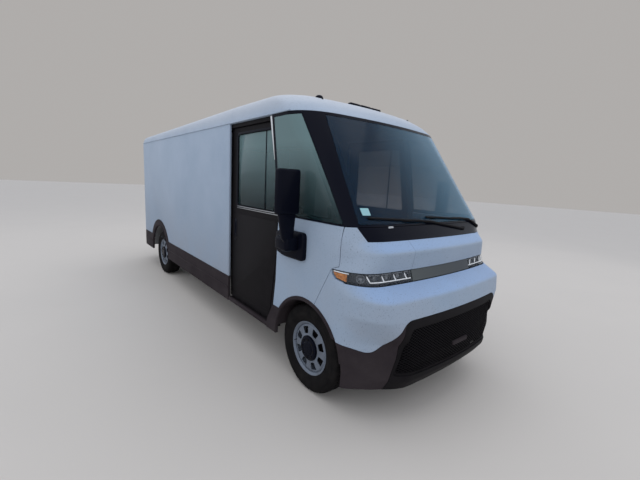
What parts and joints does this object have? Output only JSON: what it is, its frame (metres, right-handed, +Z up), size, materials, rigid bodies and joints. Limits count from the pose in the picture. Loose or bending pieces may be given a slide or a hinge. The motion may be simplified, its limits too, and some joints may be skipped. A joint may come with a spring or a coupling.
{
  "type": "electric delivery van",
  "caption": "Walk-in electric delivery van with sliding side doors, steered front wheels, hollow cab and cargo box and a roll-up rear door",
  "frame": {"origin": "on the ground at the bottom centre of the bounding box", "axes": "+Z up, the van faces -Y, its left (driver's) side is +X"},
  "size_m": [2.6, 7.175, 2.775],
  "materials": {
    "white_paint": "gloss",
    "dark_plastic": "grained",
    "black_gloss": "gloss",
    "black_metal": "satin",
    "glass": "tinted",
    "lamp_lens": "clear",
    "lamp_bar": "gloss",
    "tail_red": "gloss",
    "wheel_silver": "satin",
    "tyre": "matte",
    "axle_steel": "rough",
    "battery_case": "satin",
    "floor_grey": "ribbed",
    "liner_grey": "satin",
    "cabin_plastic": "grained",
    "seat_fabric": "woven",
    "door_aluminium": "satin"
  },
  "bodies": {
    "van_body": {"hood": "white_paint", "front_fascia": "white_paint", "cab_sides": "white_paint", "cab_roof": "white_paint", "cargo_roof": "white_paint", "side_panels": "white_paint", "rear_frame": "white_paint", "rollup_door": "door_aluminium", "cowl": "black_gloss", "light_bar": "lamp_bar", "headlamps": "lamp_lens", "bumper_lower": "dark_plastic", "grille_mesh": "black_gloss", "windshield_frame": "black_gloss", "windshield": "glass", "quarter_glasses": "glass", "roof_markers": "black_gloss", "cargo_liners": "liner_grey", "bulkhead": "liner_grey", "cargo_floor": "floor_grey", "cab_floor": "floor_grey", "tail_lamps": "tail_red", "rear_bumper": "black_metal", "door_frames": "black_metal", "side_cladding": "dark_plastic", "dashboard": "cabin_plastic", "seat_pedestals": "black_metal", "seat_cushions": "seat_fabric", "seat_backs": "seat_fabric", "mirrors": "black_gloss", "frame_rails": "black_metal", "cross_members": "black_metal", "wipers": "black_metal", "firewall": "floor_grey", "step_wells": "floor_grey", "front_wheel_wells": "dark_plastic", "rear_wheel_wells": "floor_grey", "battery_pack": "battery_case", "drive_units": "battery_case", "front_axle": "axle_steel", "rear_axle": "axle_steel"},
    "wheel_front_left_body": {"wheel_front_left": "wheel_silver", "tyre_front_left": "tyre"},
    "wheel_front_right_body": {"wheel_front_right": "wheel_silver", "tyre_front_right": "tyre"},
    "wheel_rear_left_body": {"wheel_rear_left": "wheel_silver", "tyre_rear_left": "tyre"},
    "wheel_rear_right_body": {"wheel_rear_right": "wheel_silver", "tyre_rear_right": "tyre"},
    "knuckle_left_body": {"knuckle_left": "axle_steel"},
    "door_left_body": {"door_left": "black_metal", "door_glass_left": "glass"},
    "knuckle_right_body": {"knuckle_right": "axle_steel"},
    "door_right_body": {"door_right": "black_metal", "door_glass_right": "glass"},
    "steering_wheel_body": {"steering_wheel": "cabin_plastic"}
  },
  "joints": [
    {"name": "steering", "type": "hinge", "parent": "van_body", "child": "steering_wheel_body", "pos_m": [0.43, -2.3325, 1.36], "axis": [0, 0.766, 0.6428], "range_deg": [-512, 512]},
    {"name": "knuckle_left_turn", "type": "hinge", "parent": "van_body", "child": "knuckle_left_body", "pos_m": [0.8, -2.6625, 0.407], "axis": [0, 0, 1], "range_deg": [-32, 32]},
    {"name": "wheel_front_left_spin", "type": "hinge", "parent": "knuckle_left_body", "child": "wheel_front_left_body", "pos_m": [0.862, -2.6625, 0.407], "axis": [1, 0, 0], "continuous": true},
    {"name": "wheel_rear_left_spin", "type": "hinge", "parent": "van_body", "child": "wheel_rear_left_body", "pos_m": [0.862, 1.9975, 0.407], "axis": [1, 0, 0], "continuous": true},
    {"name": "door_left_slide", "type": "slide", "parent": "van_body", "child": "door_left_body", "axis": [0, 1, 0], "range_m": [0, 0.95]},
    {"name": "knuckle_right_turn", "type": "hinge", "parent": "van_body", "child": "knuckle_right_body", "pos_m": [-0.8, -2.6625, 0.407], "axis": [0, 0, 1], "range_deg": [-32, 32]},
    {"name": "wheel_front_right_spin", "type": "hinge", "parent": "knuckle_right_body", "child": "wheel_front_right_body", "pos_m": [-0.862, -2.6625, 0.407], "axis": [1, 0, 0], "continuous": true},
    {"name": "wheel_rear_right_spin", "type": "hinge", "parent": "van_body", "child": "wheel_rear_right_body", "pos_m": [-0.862, 1.9975, 0.407], "axis": [1, 0, 0], "continuous": true},
    {"name": "door_right_slide", "type": "slide", "parent": "van_body", "child": "door_right_body", "axis": [0, 1, 0], "range_m": [0, 0.95]}
  ],
  "couplings": [
    {"joint": "knuckle_left_turn", "follows": "steering", "ratio": 0.0625},
    {"joint": "knuckle_right_turn", "follows": "steering", "ratio": 0.0625}
  ]
}
